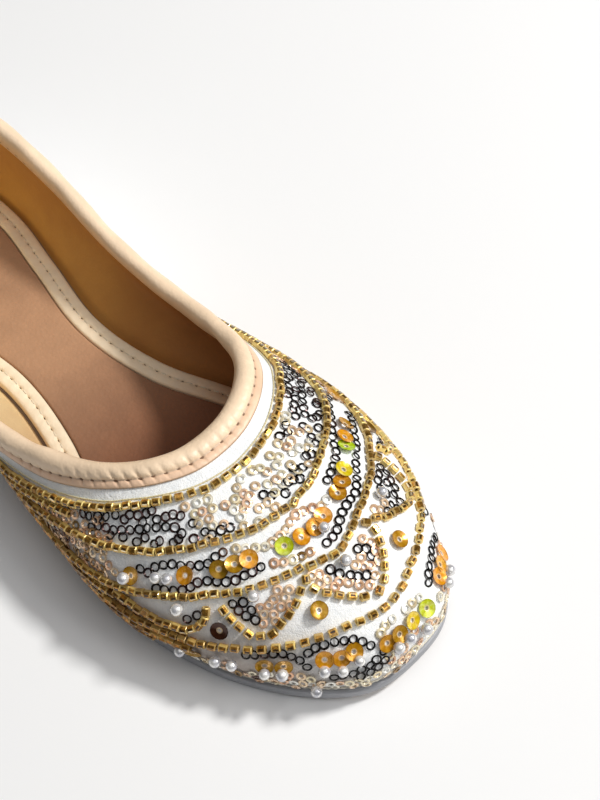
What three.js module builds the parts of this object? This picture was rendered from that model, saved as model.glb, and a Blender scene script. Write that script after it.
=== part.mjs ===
// Mojari: a slip-on shoe with a round toe, a low open topline, a padded binding and a flat leather
// sole with a low heel.  Millimetres; +X to the wearer's left, the toe towards -Y, +Z up.
import * as THREE from "three";
import { mergeVertices } from "three/addons/utils/BufferGeometryUtils.js";

// ---- sizes ----
const LENGTH = 242; // feather line, toe to heel
const GAP = 0.3; // daylight between neighbouring pieces
const WALL = 2.0; // outer cloth, stiffener and lining together
const WELT = 1.2; // how far the sole's edge stands out past the upper
const SOLE_EDGE = 0.7; // eased corner of the sole's edge
const BORDER_WIDTH = 6.9; // stitched strip round the insole
const BORDER_THICK = 3.0;
const EDGE_GAP = 0.9; // between the strip and the foot of the wall
const PANEL_THICK = 2.5; // middle panel, a little lower than the strip
const HEEL_FRONT = 182; // heel breast, behind the toe tip
const HEEL_INSET = 1.2; // heel lift set in from the sole's edge
const HEEL_EASE = 0.8;
const AROUND = 80; // stations round the shoe
const SPINE_FROM = 7; // stations where the sole's middle line starts and ends
const SPINE_TO = 34;
const WALL_STEPS = [0, 0.05, 0.12, 0.22, 0.33, 0.45, 0.57, 0.68, 0.77, 0.85, 0.91, 0.96, 1];

// Each table runs from the middle of the toe to the middle of the heel.  Both sides lie `half` away
// from a middle line that is `swing` to the wearer's left: a right shoe, hollow on its inner side.
// Feather line, where the upper meets the sole.
const FEATHER = [
  { half: 0, back: 0, swing: 5.4 },
  { half: 16, back: 3.5, swing: 5.1 },
  { half: 29.7, back: 19, swing: 4.4 },
  { half: 39, back: 41, swing: 3 },
  { half: 41.9, back: 68, swing: 1.2 },
  { half: 34.3, back: 99, swing: 0.1 },
  { half: 25, back: 123, swing: -0.8 },
  { half: 21.4, back: 147, swing: -0.7 },
  { half: 25.3, back: 172, swing: -0.1 },
  { half: 29, back: 196, swing: 0.8 },
  { half: 27.4, back: 219, swing: 1.2 },
  { half: 16.8, back: 236.5, swing: 0.9 },
  { half: 0, back: 242, swing: 0.7 },
];
// Topline, the upper's rim: high at the throat, low at the sides, highest at the heel.
const TOPLINE = [
  { half: 0, back: 74.7, swing: -0.4, height: 42.5 },
  { half: 9.2, back: 75.9, swing: -0.2, height: 42.5 },
  { half: 18.1, back: 80.6, swing: 0.4, height: 41.6 },
  { half: 25.2, back: 88, swing: 0.8, height: 39.4 },
  { half: 30.4, back: 98.5, swing: 0.2, height: 36.6 },
  { half: 33.8, back: 113.2, swing: -1.4, height: 33.4 },
  { half: 34.6, back: 133.2, swing: -2.2, height: 31.8 },
  { half: 34, back: 154.2, swing: -1.8, height: 34.6 },
  { half: 33.6, back: 179, swing: -0.4, height: 41.2 },
  { half: 30.6, back: 203, swing: 0.8, height: 48 },
  { half: 23.2, back: 225, swing: 0.9, height: 54 },
  { half: 12.6, back: 239.5, swing: 0.7, height: 57.8 },
  { half: 0, back: 244, swing: 0.6, height: 59 },
];
// Fullness of the wall: how it leaves the sole (out, up) and how it reaches the rim (along, down).
const FULLNESS = [
  { out: 4.5, up: 20.4, along: 35.8, down: 3 },
  { out: 5, up: 19.6, along: 33, down: 3 },
  { out: 6, up: 19.4, along: 28.7, down: 3.3 },
  { out: 7.8, up: 19, along: 20.7, down: 3.8 },
  { out: 10.1, up: 16.1, along: 8, down: 5.5 },
  { out: 15, up: 13.7, along: -2, down: 8 },
  { out: 15, up: 11.5, along: -3, down: 10 },
  { out: 13, up: 10.5, along: -3, down: 11.5 },
  { out: 10, up: 12, along: -2, down: 12.5 },
  { out: 7.5, up: 14.5, along: -1, down: 14 },
  { out: 6.5, up: 16.5, along: 0, down: 15 },
  { out: 5.5, up: 17.5, along: 0.5, down: 16 },
  { out: 5, up: 18, along: 1, down: 16 },
];
// Side view of the sole: toe spring, level tread, arch and seat.
const SIDE_VIEW = [
  { back: -2, bottom: 3.7, top: 7.8 },
  { back: 10, bottom: 1.7, top: 6 },
  { back: 24, bottom: 0.4, top: 4.9 },
  { back: 36, bottom: 0, top: 4.5 },
  { back: 102, bottom: 0, top: 4.6 },
  { back: 128, bottom: 2.2, top: 6.8 },
  { back: 153, bottom: 4.3, top: 8.8 },
  { back: 176, bottom: 5.2, top: 9.8 },
  { back: 246, bottom: 5.2, top: 9.8 },
];
// Section of the binding: `below` the rim along the wall, `off` the wall's outer face.
const BINDING = [
  { below: 4.9, off: 0.3 },
  { below: 4.9, off: 1.0 },
  { below: 3.5, off: 1.1 },
  { below: 3.0, off: 2.0 },
  { below: 1.3, off: 2.5 },
  { below: -0.7, off: 2.1 },
  { below: -2.2, off: 0.7 },
  { below: -2.8, off: -1.1 },
  { below: -2.1, off: -2.8 },
  { below: -0.5, off: -3.7 },
  { below: 2.0, off: -3.9 },
  { below: 4.6, off: -3.1 },
  { below: 4.6, off: -2.35 },
  { below: 2.2, off: -2.35 },
  { below: -0.35, off: -2.35 },
  { below: -0.35, off: 0.3 },
  { below: 2.2, off: 0.3 },
];

// ---- curves ----
// Value of one column at u, once round the shoe from the toe (0) by the left to the heel (0.5).
function round(table, column, u) {
  const n = 2 * (table.length - 1);
  const value = (i) => {
    const k = ((i % n) + n) % n;
    const mirrored = k >= table.length;
    return table[mirrored ? n - k : k][column] * (mirrored && column === "half" ? -1 : 1);
  };
  const k = Math.floor(u * n);
  const f = u * n - k;
  const [a, b, c, d] = [value(k - 1), value(k), value(k + 1), value(k + 2)];
  return (
    0.5 *
    (2 * b + (c - a) * f + (2 * a - 5 * b + 4 * c - d) * f * f + (3 * b - a - 3 * c + d) * f * f * f)
  );
}

// Smooth column of the side view that never overshoots its rows.
function side(column, back) {
  const rows = SIDE_VIEW;
  const last = rows.length - 1;
  if (back <= rows[0].back) return rows[0][column];
  if (back >= rows[last].back) return rows[last][column];
  const i = rows.findIndex((row, k) => back >= row.back && back < rows[k + 1].back);
  const slope = (k) =>
    k < 0 || k >= last
      ? null
      : (rows[k + 1][column] - rows[k][column]) / (rows[k + 1].back - rows[k].back);
  const tangent = (k) => {
    const [p, q] = [slope(k - 1), slope(k)];
    if (p === null) return q;
    if (q === null) return p;
    return p * q <= 0 ? 0 : (2 * p * q) / (p + q);
  };
  const w = rows[i + 1].back - rows[i].back;
  const f = (back - rows[i].back) / w;
  const f2 = f * f;
  const f3 = f2 * f;
  return (
    (2 * f3 - 3 * f2 + 1) * rows[i][column] +
    (f3 - 2 * f2 + f) * w * tangent(i) +
    (3 * f2 - 2 * f3) * rows[i + 1][column] +
    (f3 - f2) * w * tangent(i + 1)
  );
}
const soleTop = (y) => side("top", y + LENGTH / 2);
const soleBottom = (y) => side("bottom", y + LENGTH / 2);

// Point of a line in plan.
function plan(table, u) {
  const x = round(table, "half", u) + round(table, "swing", u);
  return new THREE.Vector3(x, round(table, "back", u) - LENGTH / 2, 0);
}
// Feather line moved outwards by `out` in plan.
function outline(u, out = 0) {
  const point = (t) => plan(FEATHER, t);
  const p = point(u);
  const e = 1e-4;
  const run = point(u + e).sub(point(u - e)).normalize();
  return p.add(new THREE.Vector3(run.y, -run.x, 0).multiplyScalar(out));
}

// The wall's outer face: v runs from the feather line (0) up to the rim (1).
function wall(u, v) {
  const foot = outline(u);
  const away = outline(u, 1).sub(foot);
  foot.z = soleTop(foot.y) + GAP;
  const rim = plan(TOPLINE, u).setZ(round(TOPLINE, "height", u));
  const inward = new THREE.Vector3(foot.x - rim.x, foot.y - rim.y, 0);
  inward.divideScalar(Math.max(inward.length(), 3));
  const low = foot.clone().addScaledVector(away, round(FULLNESS, "out", u));
  low.z += round(FULLNESS, "up", u);
  const high = rim.clone().addScaledVector(inward, round(FULLNESS, "along", u));
  high.z -= round(FULLNESS, "down", u);
  const w = 1 - v;
  return foot
    .multiplyScalar(w * w * w)
    .addScaledVector(low, 3 * w * w * v)
    .addScaledVector(high, 3 * w * v * v)
    .addScaledVector(rim, v * v * v);
}
function wallNormal(u, v) {
  const e = 1e-3;
  const across = wall(u + e, v).sub(wall(u - e, v));
  const up = wall(u, Math.min(v + e, 1)).sub(wall(u, Math.max(v - e, 0)));
  return across.cross(up).normalize();
}
// Inner face; at the foot it is measured level, so that the wall stands flat on the sole.
function lining(u, v) {
  const level = outline(u, 1).sub(outline(u));
  const blend = THREE.MathUtils.smoothstep(v, 0, 0.12);
  const n = level.lerp(wallNormal(u, v), blend).normalize();
  return wall(u, v).addScaledVector(n, -WALL);
}
// A point `below` mm under the rim, measured down the wall, and `off` mm out from its face.
function nearRim(u, below, off) {
  const steps = 24;
  let v = 1;
  let left = below;
  let here = wall(u, 1);
  for (let i = 1; i <= steps && left > 0; i++) {
    const next = wall(u, 1 - (0.5 * i) / steps);
    const d = next.distanceTo(here);
    v -= (0.5 / steps) * Math.min(1, left / d);
    left -= d;
    here = next;
  }
  const p = wall(u, v);
  if (below < 0) p.addScaledVector(wall(u, 1).sub(wall(u, 0.99)).normalize(), -below);
  return p.addScaledVector(wallNormal(u, v), off);
}

// ---- solids ----
// One closed body through rings of points.  A loop of rings is a tyre; otherwise the first and last
// rings have shrunk to a line or a point and close the body.
function skin(rings, loop) {
  const corners = [];
  const n = rings[0].length;
  const same = (a, b) => a.distanceToSquared(b) < 1e-8;
  const triangle = (a, b, c) => {
    if (same(a, b) || same(b, c) || same(c, a)) return;
    corners.push(a.x, a.y, a.z, b.x, b.y, b.z, c.x, c.y, c.z);
  };
  for (let j = 0; j < (loop ? rings.length : rings.length - 1); j++) {
    const low = rings[j];
    const high = rings[(j + 1) % rings.length];
    for (let i = 0; i < n; i++) {
      const k = (i + 1) % n;
      triangle(low[i], low[k], high[k]);
      triangle(low[i], high[k], high[i]);
    }
  }
  const geometry = new THREE.BufferGeometry();
  geometry.setAttribute("position", new THREE.Float32BufferAttribute(corners, 3));
  return mergeVertices(geometry, 1e-4);
}
// Ring of points, one for each station round the shoe.
const ring = (point) => Array.from({ length: AROUND }, (_, i) => point(i / AROUND, i));
// Plan point between the outline (0) and the sole's middle line (1), which ends short of toe and heel.
function spread(i, out, f, height) {
  const at = (k) => outline(k / AROUND, out);
  const p = at(i);
  const k = THREE.MathUtils.clamp(Math.min(i, AROUND - i), SPINE_FROM, SPINE_TO);
  const spine = at(k).add(at(AROUND - k)).multiplyScalar(0.5);
  p.lerp(spine, f);
  p.z = height(p.y);
  return p;
}
const lift = (height, by) => (y) => height(y) + by;

// A flat piece with eased edges, filling the outline moved out by `out`.
function slab(out, bottom, top, ease) {
  return skin(
    [
      ring((u, i) => spread(i, out, 1, bottom)),
      ring((u, i) => spread(i, out, 0.5, bottom)),
      ring((u, i) => spread(i, out - ease, 0, bottom)),
      ring((u, i) => spread(i, out, 0, lift(bottom, ease))),
      ring((u, i) => spread(i, out, 0, lift(top, -ease))),
      ring((u, i) => spread(i, out - ease, 0, top)),
      ring((u, i) => spread(i, out, 0.5, top)),
      ring((u, i) => spread(i, out, 1, top)),
    ],
    false,
  );
}

const outsole = slab(WELT, soleBottom, soleTop, SOLE_EDGE);

const borderOut = -(WALL + EDGE_GAP);
const panelOut = borderOut - BORDER_WIDTH - GAP;
const insole = slab(panelOut, lift(soleTop, GAP), lift(soleTop, GAP + PANEL_THICK), 0.4);

const borderIn = borderOut - BORDER_WIDTH;
const stripFoot = lift(soleTop, GAP);
const stripTop = lift(soleTop, GAP + BORDER_THICK);
const insoleBorder = skin(
  [
    ring((u, i) => spread(i, borderOut, 0, stripFoot)),
    ring((u, i) => spread(i, borderOut, 0, lift(stripTop, -0.6))),
    ring((u, i) => spread(i, borderOut - 0.6, 0, stripTop)),
    ring((u, i) => spread(i, borderIn + 0.6, 0, stripTop)),
    ring((u, i) => spread(i, borderIn, 0, lift(stripTop, -0.6))),
    ring((u, i) => spread(i, borderIn, 0, stripFoot)),
  ],
  true,
);

// Heel lift: the sole's outline behind a slightly hollow breast.
function heelRing(inset, z) {
  let start = 0.25;
  while (outline(start, 0).y + LENGTH / 2 < HEEL_FRONT + inset) start += 0.0005;
  const out = WELT - HEEL_INSET - inset;
  const points = [];
  const arc = 32;
  for (let i = 0; i <= arc; i++) points.push(outline(start + ((1 - 2 * start) * i) / arc, out).setZ(z));
  const [a, b] = [points[arc], points[0]];
  const breast = 8;
  for (let i = 1; i < breast; i++) {
    const p = a.clone().lerp(b, i / breast);
    p.y += 3 * Math.sin((Math.PI * i) / breast);
    points.push(p);
  }
  return points;
}
const heelTop = 5.2 - GAP;
const heelMiddle = (z) => heelRing(0, z).map(() => new THREE.Vector3(0, 213 - LENGTH / 2, z));
const heelLift = skin(
  [
    heelMiddle(0),
    heelRing(HEEL_EASE, 0),
    heelRing(0, HEEL_EASE),
    heelRing(0, heelTop),
    heelMiddle(heelTop),
  ],
  false,
);

const upper = skin(
  [
    ...WALL_STEPS.map((v) => ring((u) => wall(u, v))),
    ...[...WALL_STEPS].reverse().map((v) => ring((u) => lining(u, v))),
  ],
  true,
);

const binding = skin(
  BINDING.map(({ below, off }) => ring((u) => nearRim(u, below, off))),
  true,
);

// ---- the shoe ----
const group = new THREE.Group();
function piece(name, geometry, color, roughness) {
  geometry.computeVertexNormals();
  const material = new THREE.MeshStandardMaterial({ color, roughness, metalness: 0 });
  const mesh = new THREE.Mesh(geometry, material);
  mesh.name = name;
  group.add(mesh);
}
piece("outsole", outsole, 0xc9c9cc, 0.6);
piece("heel_lift", heelLift, 0xb9b5b2, 0.65);
piece("insole", insole, 0xb58f74, 0.55);
piece("insole_border", insoleBorder, 0xf3dfc4, 0.5);
piece("upper", upper, 0xe4e8f0, 0.85);
piece("collar_binding", binding, 0xf2d9c2, 0.45);

// The frame's origin is under the middle of the shoe, on the floor.
const box = new THREE.Box3().setFromObject(group, true);
const middle = box.getCenter(new THREE.Vector3());
for (const mesh of group.children) mesh.geometry.translate(-middle.x, -middle.y, -box.min.z);

export default group;
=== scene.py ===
"""Looks of one mojari shoe, a right shoe of about 248 mm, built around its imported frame."""

import math

import bmesh
import bpy
import numpy as np
from bpy.props import FloatProperty, FloatVectorProperty, IntProperty, PointerProperty
from mathutils import Matrix, Vector


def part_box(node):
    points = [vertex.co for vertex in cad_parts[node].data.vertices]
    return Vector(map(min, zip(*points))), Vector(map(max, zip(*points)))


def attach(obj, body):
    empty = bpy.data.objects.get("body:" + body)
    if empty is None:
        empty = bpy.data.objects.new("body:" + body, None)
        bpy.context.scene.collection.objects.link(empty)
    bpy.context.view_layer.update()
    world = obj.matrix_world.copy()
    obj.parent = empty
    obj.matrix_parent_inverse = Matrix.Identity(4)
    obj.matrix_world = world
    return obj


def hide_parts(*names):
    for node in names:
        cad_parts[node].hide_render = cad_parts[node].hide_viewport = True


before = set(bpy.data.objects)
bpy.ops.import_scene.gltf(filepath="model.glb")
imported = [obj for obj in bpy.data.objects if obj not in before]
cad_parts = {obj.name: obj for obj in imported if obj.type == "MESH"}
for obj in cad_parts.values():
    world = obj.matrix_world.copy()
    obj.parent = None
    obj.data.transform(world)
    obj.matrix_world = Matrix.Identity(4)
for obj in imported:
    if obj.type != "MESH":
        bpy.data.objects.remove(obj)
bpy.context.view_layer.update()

bl_info = {
    "name": "Mojari Shoe",
    "version": (1, 0, 0),
    "blender": (4, 5, 0),
    "location": "3D View > Sidebar > Mojari",
    "description": "Velvet slip-on with beaded vamp, padded collar and stitched insole",
    "category": "Add Mesh",
}

# ---- the last, in millimetres: the same tables as the solid, from the toe to the heel ----
MM = 0.001
LENGTH = 242.0
GAP = 0.3  # between the sole's top and the wall or the insole
WALL = 2.0  # thickness of the wall
NEAREST = 3.0  # where foot and rim are closer than this, seen from above, the rim is less full
FOOT = 0.12  # share of the wall, up from the foot, over which its thickness turns from level
SPINE_ENDS = 7 / 80, 34 / 80  # where the sole's middle line ends, as shares of the way round
SHOULDER = 2.2  # from a flat piece's eased edge in to the next ring of its top
SOLE_OUT = 1.2  # how far the sole stands out from the feather line
HEEL_BREAST = 182  # distance behind the toe
HEEL_HEIGHT = 4.9
PANEL_OUT = -10.05  # edge of the insole's panel, inside the feather line
STRIP_OUT, STRIP_MIDDLE = -2.9, -6.35  # outer edge and stitched middle of its border strip
SEAM = 3.5  # about how far the collar's seam runs below the rim
SIGHT = 0.4  # how far either way along a bead line its direction is taken
# Half breadth, distance behind the toe, swing to the wearer's left.
FEATHER = np.array([
    (0, 0, 5.4), (16, 3.5, 5.1), (29.7, 19, 4.4), (39, 41, 3), (41.9, 68, 1.2), (34.3, 99, 0.1),
    (25, 123, -0.8), (21.4, 147, -0.7), (25.3, 172, -0.1), (29, 196, 0.8), (27.4, 219, 1.2),
    (16.8, 236.5, 0.9), (0, 242, 0.7),
])
# The same, then the height of the rim.
TOPLINE = np.array([
    (0, 74.7, -0.4, 42.5), (9.2, 75.9, -0.2, 42.5), (18.1, 80.6, 0.4, 41.6), (25.2, 88, 0.8, 39.4),
    (30.4, 98.5, 0.2, 36.6), (33.8, 113.2, -1.4, 33.4), (34.6, 133.2, -2.2, 31.8),
    (34, 154.2, -1.8, 34.6), (33.6, 179, -0.4, 41.2), (30.6, 203, 0.8, 48), (23.2, 225, 0.9, 54),
    (12.6, 239.5, 0.7, 57.8), (0, 244, 0.6, 59),
])
# How far the wall swells out and up from the feather, and in and down from the rim.
FULLNESS = np.array([
    (4.5, 20.4, 35.8, 3), (5, 19.6, 33, 3), (6, 19.4, 28.7, 3.3), (7.8, 19, 20.7, 3.8),
    (10.1, 16.1, 8, 5.5), (15, 13.7, -2, 8), (15, 11.5, -3, 10), (13, 10.5, -3, 11.5),
    (10, 12, -2, 12.5), (7.5, 14.5, -1, 14), (6.5, 16.5, 0, 15), (5.5, 17.5, 0.5, 16), (5, 18, 1, 16),
])
# Distance behind the toe, underside and top of the sole.
SIDE_VIEW = np.array([
    (-2, 3.7, 7.8), (10, 1.7, 6), (24, 0.4, 4.9), (36, 0, 4.5), (102, 0, 4.6), (128, 2.2, 6.8),
    (153, 4.3, 8.8), (176, 5.2, 9.8), (246, 5.2, 9.8),
])


def through(a, b, c, d, f):
    """The value at share f of the way from b to c, on a smooth curve through all four (Catmull-Rom)."""
    return 0.5 * (2 * b + (c - a) * f + (2 * a - 5 * b + 4 * c - d) * f**2 + (3 * b - a - 3 * c + d) * f**3)


def around(table, column, u):
    """One column of a table at u, once round the shoe from the toe (0) by the left to the heel (0.5)."""
    half = table[:, column]
    sign = -1.0 if column == 0 and table is not FULLNESS else 1.0
    loop = np.concatenate([half, sign * half[-2:0:-1]])
    n = len(loop)
    u = np.asarray(u, float) % 1.0
    k = np.floor(u * n).astype(int)
    f = u * n - k
    return through(*(loop[(k + i) % n] for i in (-1, 0, 1, 2)), f)


def side(column, y):
    """A column of the side view at y, smooth and never overshooting its rows."""
    back, value = SIDE_VIEW[:, 0], SIDE_VIEW[:, column]
    slope = np.diff(value) / np.diff(back)
    p, q = slope[:-1], slope[1:]
    inner = np.where(p * q <= 0, 0, 2 * p * q / np.where(np.abs(p + q) < 1e-12, 1, p + q))
    tangent = np.concatenate([slope[:1], inner, slope[-1:]])
    x = np.clip(np.asarray(y, float) + LENGTH / 2, back[0], back[-1] - 1e-9)
    i = np.clip(np.searchsorted(back, x, side="right") - 1, 0, len(back) - 2)
    w = back[i + 1] - back[i]
    f = (x - back[i]) / w
    return (
        (2 * f**3 - 3 * f**2 + 1) * value[i]
        + (f**3 - 2 * f**2 + f) * w * tangent[i]
        + (3 * f**2 - 2 * f**3) * value[i + 1]
        + (f**3 - f**2) * w * tangent[i + 1]
    )


def plan(table, u):
    """An outline seen from above."""
    return np.stack([around(table, 0, u) + around(table, 2, u), around(table, 1, u) - LENGTH / 2], -1)


def unit(a, least=1e-12):
    """Vectors brought to length 1; one shorter than `least` is divided by `least`."""
    return a / np.maximum(np.linalg.norm(a, axis=-1, keepdims=True), least)


def distances(line):
    """How far along a line of points each of them lies."""
    return np.concatenate([[0], np.cumsum(np.linalg.norm(np.diff(line, axis=0), axis=1))])


def away(u):
    """Level direction straight out from the feather line."""
    run = unit(plan(FEATHER, np.asarray(u) + 1e-4) - plan(FEATHER, np.asarray(u) - 1e-4))
    return np.stack([run[..., 1], -run[..., 0], np.zeros(run.shape[:-1])], -1)


def outline(u, out, z=0.0):
    """The feather line moved out by `out`, at height z, or z(y)."""
    p = plan(FEATHER, u) + away(u)[..., :2] * np.asarray(out, float)[..., None]
    height = z(p[..., 1]) if callable(z) else np.broadcast_to(z, p.shape[:-1])
    return np.concatenate([p, height[..., None]], -1)


def sole_top(y):
    return side(2, y)


def sole_bottom(y):
    return side(1, y)


def wall(u, v):
    """The wall's outer face: v runs from the feather line (0) up to the rim (1)."""
    u, v = np.broadcast_arrays(np.asarray(u, float), np.asarray(v, float))
    foot = outline(u, np.zeros(u.shape), lambda y: sole_top(y) + GAP)
    rim = np.concatenate([plan(TOPLINE, u), around(TOPLINE, 3, u)[..., None]], -1)
    inward = foot - rim
    inward[..., 2] = 0
    inward = unit(inward, NEAREST)
    low = foot + away(u) * around(FULLNESS, 0, u)[..., None]
    low[..., 2] += around(FULLNESS, 1, u)
    high = rim + inward * around(FULLNESS, 2, u)[..., None]
    high[..., 2] -= around(FULLNESS, 3, u)
    v = v[..., None]
    w = 1 - v
    return w**3 * foot + 3 * w * w * v * low + 3 * w * v * v * high + v**3 * rim


class Wall:
    """The outer face as a chart: u round the shoe, q down the wall as a share of its length from the rim."""

    COLUMNS, ROWS, FINE = 960, 120, 201

    def __init__(self):
        u = np.arange(self.COLUMNS) / self.COLUMNS
        v = np.linspace(1, 0, self.FINE)
        line = wall(u[:, None], v[None, :])
        run = np.cumsum(np.linalg.norm(np.diff(line, axis=1), axis=2), axis=1)
        run = np.concatenate([np.zeros((self.COLUMNS, 1)), run], 1)
        self.depth = run[:, -1]
        q = np.linspace(0, 1, self.ROWS + 1)
        self.v = np.stack([np.interp(q * d, r, v) for d, r in zip(self.depth, run)])
        self.face = wall(u[:, None], self.v)
        across = np.roll(self.face, -1, 0) - np.roll(self.face, 1, 0)
        down = np.gradient(self.face, axis=1)
        self.out = unit(np.cross(across, -down))
        low, high = self.face.reshape(-1, 3).min(0), self.face.reshape(-1, 3).max(0)
        a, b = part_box("upper")
        middle = (np.array(a) + np.array(b)) / 2 / MM
        self.shift = np.array([middle[0] - (low[0] + high[0]) / 2, middle[1] - (low[1] + high[1]) / 2, 0])

    def _read(self, table, u, q):
        u, q = np.broadcast_arrays(np.asarray(u, float) % 1.0, np.clip(np.asarray(q, float), 0, 1))
        i = np.floor(u * self.COLUMNS).astype(int) % self.COLUMNS
        f = (u * self.COLUMNS - np.floor(u * self.COLUMNS))[..., None]
        j = np.minimum((q * self.ROWS).astype(int), self.ROWS - 1)
        g = (q * self.ROWS - j)[..., None]
        k = (i + 1) % self.COLUMNS
        upper = table[i, j] * (1 - f) + table[k, j] * f
        lower = table[i, j + 1] * (1 - f) + table[k, j + 1] * f
        return upper * (1 - g) + lower * g

    def length(self, u):
        """Length of the wall from the rim to the foot, in millimetres."""
        column = np.asarray(u, float) % 1.0 * self.COLUMNS
        return np.interp(column, np.arange(self.COLUMNS + 1), np.append(self.depth, self.depth[0]))

    def normal(self, u, q):
        return unit(self._read(self.out, u, q))

    def at(self, u, q, off=0.0):
        """Point at share q down the wall, `off` outside its face; a negative q goes on above the rim."""
        q = np.asarray(q, float)
        n = self.normal(u, q)
        p = self._read(self.face, u, q) + n * np.asarray(off, float)[..., None]
        rim = self._read(self.face, u, 0 * q) - self._read(self.face, u, 0 * q + 0.01)
        return p + unit(rim) * (np.maximum(-q, 0) * self.length(u))[..., None]

    def below(self, u, mm, off=0.0):
        """Point so many millimetres below the rim, measured down the wall."""
        return self.at(u, np.asarray(mm, float) / self.length(u), off)

    def foot_blend(self, u, q, off):
        """As at(), but measured level at the foot, where the wall stands on the sole."""
        v = 1 - np.clip(np.asarray(q, float), 0, 1)
        s = np.clip(v / FOOT, 0, 1)
        s = (s * s * (3 - 2 * s))[..., None]
        n = unit(away(u) * (1 - s) + self.normal(u, q) * s)
        return self._read(self.face, u, q) + n * np.asarray(off, float)[..., None]

    def spot(self, u, q, off=0.0):
        """Point, direction round the shoe and normal at a place of the beadwork chart."""
        u, q, step = u / 100, q / 10, 0.002
        return self.at(u, q, off), self.at(u + step, q) - self.at(u - step, q), self.normal(u, q)


WALLS = Wall()


def metres(points):
    """Points of the tables, in the frame's own place and in metres."""
    return (np.asarray(points, float) + WALLS.shift) * MM


def smooth_line(points, steps=24):
    """A smooth line through chart points (u in hundredths, q in tenths), as arrays u and q."""
    p = np.array(points, float)
    ext = np.vstack([2 * p[0] - p[1], p, 2 * p[-1] - p[-2]])
    out = []
    for k in range(1, len(ext) - 2):
        out.append(through(*ext[k - 1 : k + 3], (np.arange(steps) / steps)[:, None]))
    line = np.vstack(out + [p[-1:]])
    return line[:, 0] / 100, line[:, 1] / 10


# ---- mesh helpers ----
def show(bm, name, material, slot, replaced=(), smooth=True, sharp=None):
    """Turns a bmesh into a piece that rides with the shoe."""
    mesh = bpy.data.meshes.new(name)
    bm.to_mesh(mesh)
    bm.free()
    mesh.polygons.foreach_set("use_smooth", [smooth] * len(mesh.polygons))
    if sharp is not None:
        mesh.set_sharp_from_angle(angle=math.radians(sharp))
    mesh.materials.append(material)
    piece = bpy.data.objects.new(name, mesh)
    bpy.context.scene.collection.objects.link(piece)
    if replaced:
        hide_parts(*replaced)
    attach(piece, "root")
    return piece


def skin(columns, rows, place):
    """A closed skin from a grid: columns run round the shoe, rows over the section.

    place(u, t) gives points in millimetres for arrays of u and row number t."""
    bm = bmesh.new()
    bmesh.ops.create_grid(bm, x_segments=columns, y_segments=rows, size=0.5)
    uv = bm.loops.layers.uv.new("Surface")
    for face in bm.faces:
        for loop in face.loops:
            loop[uv].uv = (loop.vert.co.x + 0.5, loop.vert.co.y + 0.5)
    flat = np.array([v.co[:2] for v in bm.verts]) + 0.5
    points = metres(place(flat[:, 0], np.rint(flat[:, 1] * rows).astype(int)))
    for vert, p in zip(bm.verts, points):
        vert.co = p
    bmesh.ops.remove_doubles(bm, verts=bm.verts, dist=1e-6)
    bmesh.ops.dissolve_degenerate(bm, edges=bm.edges, dist=1e-7)
    bmesh.ops.recalc_face_normals(bm, faces=bm.faces)
    return bm


def by_row(section, t):
    """Columns of a section table for the row numbers t."""
    return np.array(section, float)[t].T


def spread(u, out, f, height):
    """Point between the outline (f 0) and the sole's middle line (f 1), which ends short of toe and heel."""
    k = np.clip(np.minimum(u % 1.0, 1 - u % 1.0), *SPINE_ENDS)
    spine = (outline(k, out) + outline(1 - k, out)) / 2
    p = outline(u, out) * (1 - f)[:, None] + spine * f[:, None]
    p[:, 2] = height(p[:, 1])
    return p


def slab_section(ease, steps=4, fill=6):
    """Rows of a flat piece as (share towards the middle, inset, share of the height, ease up)."""
    rows = [(1 - i / fill, ease, 0.0, 0.0) for i in range(fill)]
    turn = [math.pi / 2 * i / steps for i in range(steps + 1)]
    rows += [(0.0, ease * (1 - math.sin(a)), 0.0, ease * (1 - math.cos(a))) for a in turn]
    rows += [(0.0, ease * (1 - math.cos(a)), 1.0, -ease * (1 - math.sin(a))) for a in turn]
    return rows + [(i / fill, ease + SHOULDER, 1.0, 0.0) for i in range(fill + 1)]


def slab(out, bottom, top, ease, columns=320):
    """A flat piece that follows the last, `out` from the feather line, between two heights."""
    section = slab_section(ease)

    def place(u, t):
        f, inset, share, up = by_row(section, t)
        low, high = spread(u, out - inset, f, bottom), spread(u, out - inset, f, top)
        p = low.copy()
        p[:, 2] = low[:, 2] * (1 - share) + high[:, 2] * share + up
        return p

    return skin(columns, len(section) - 1, place)


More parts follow.
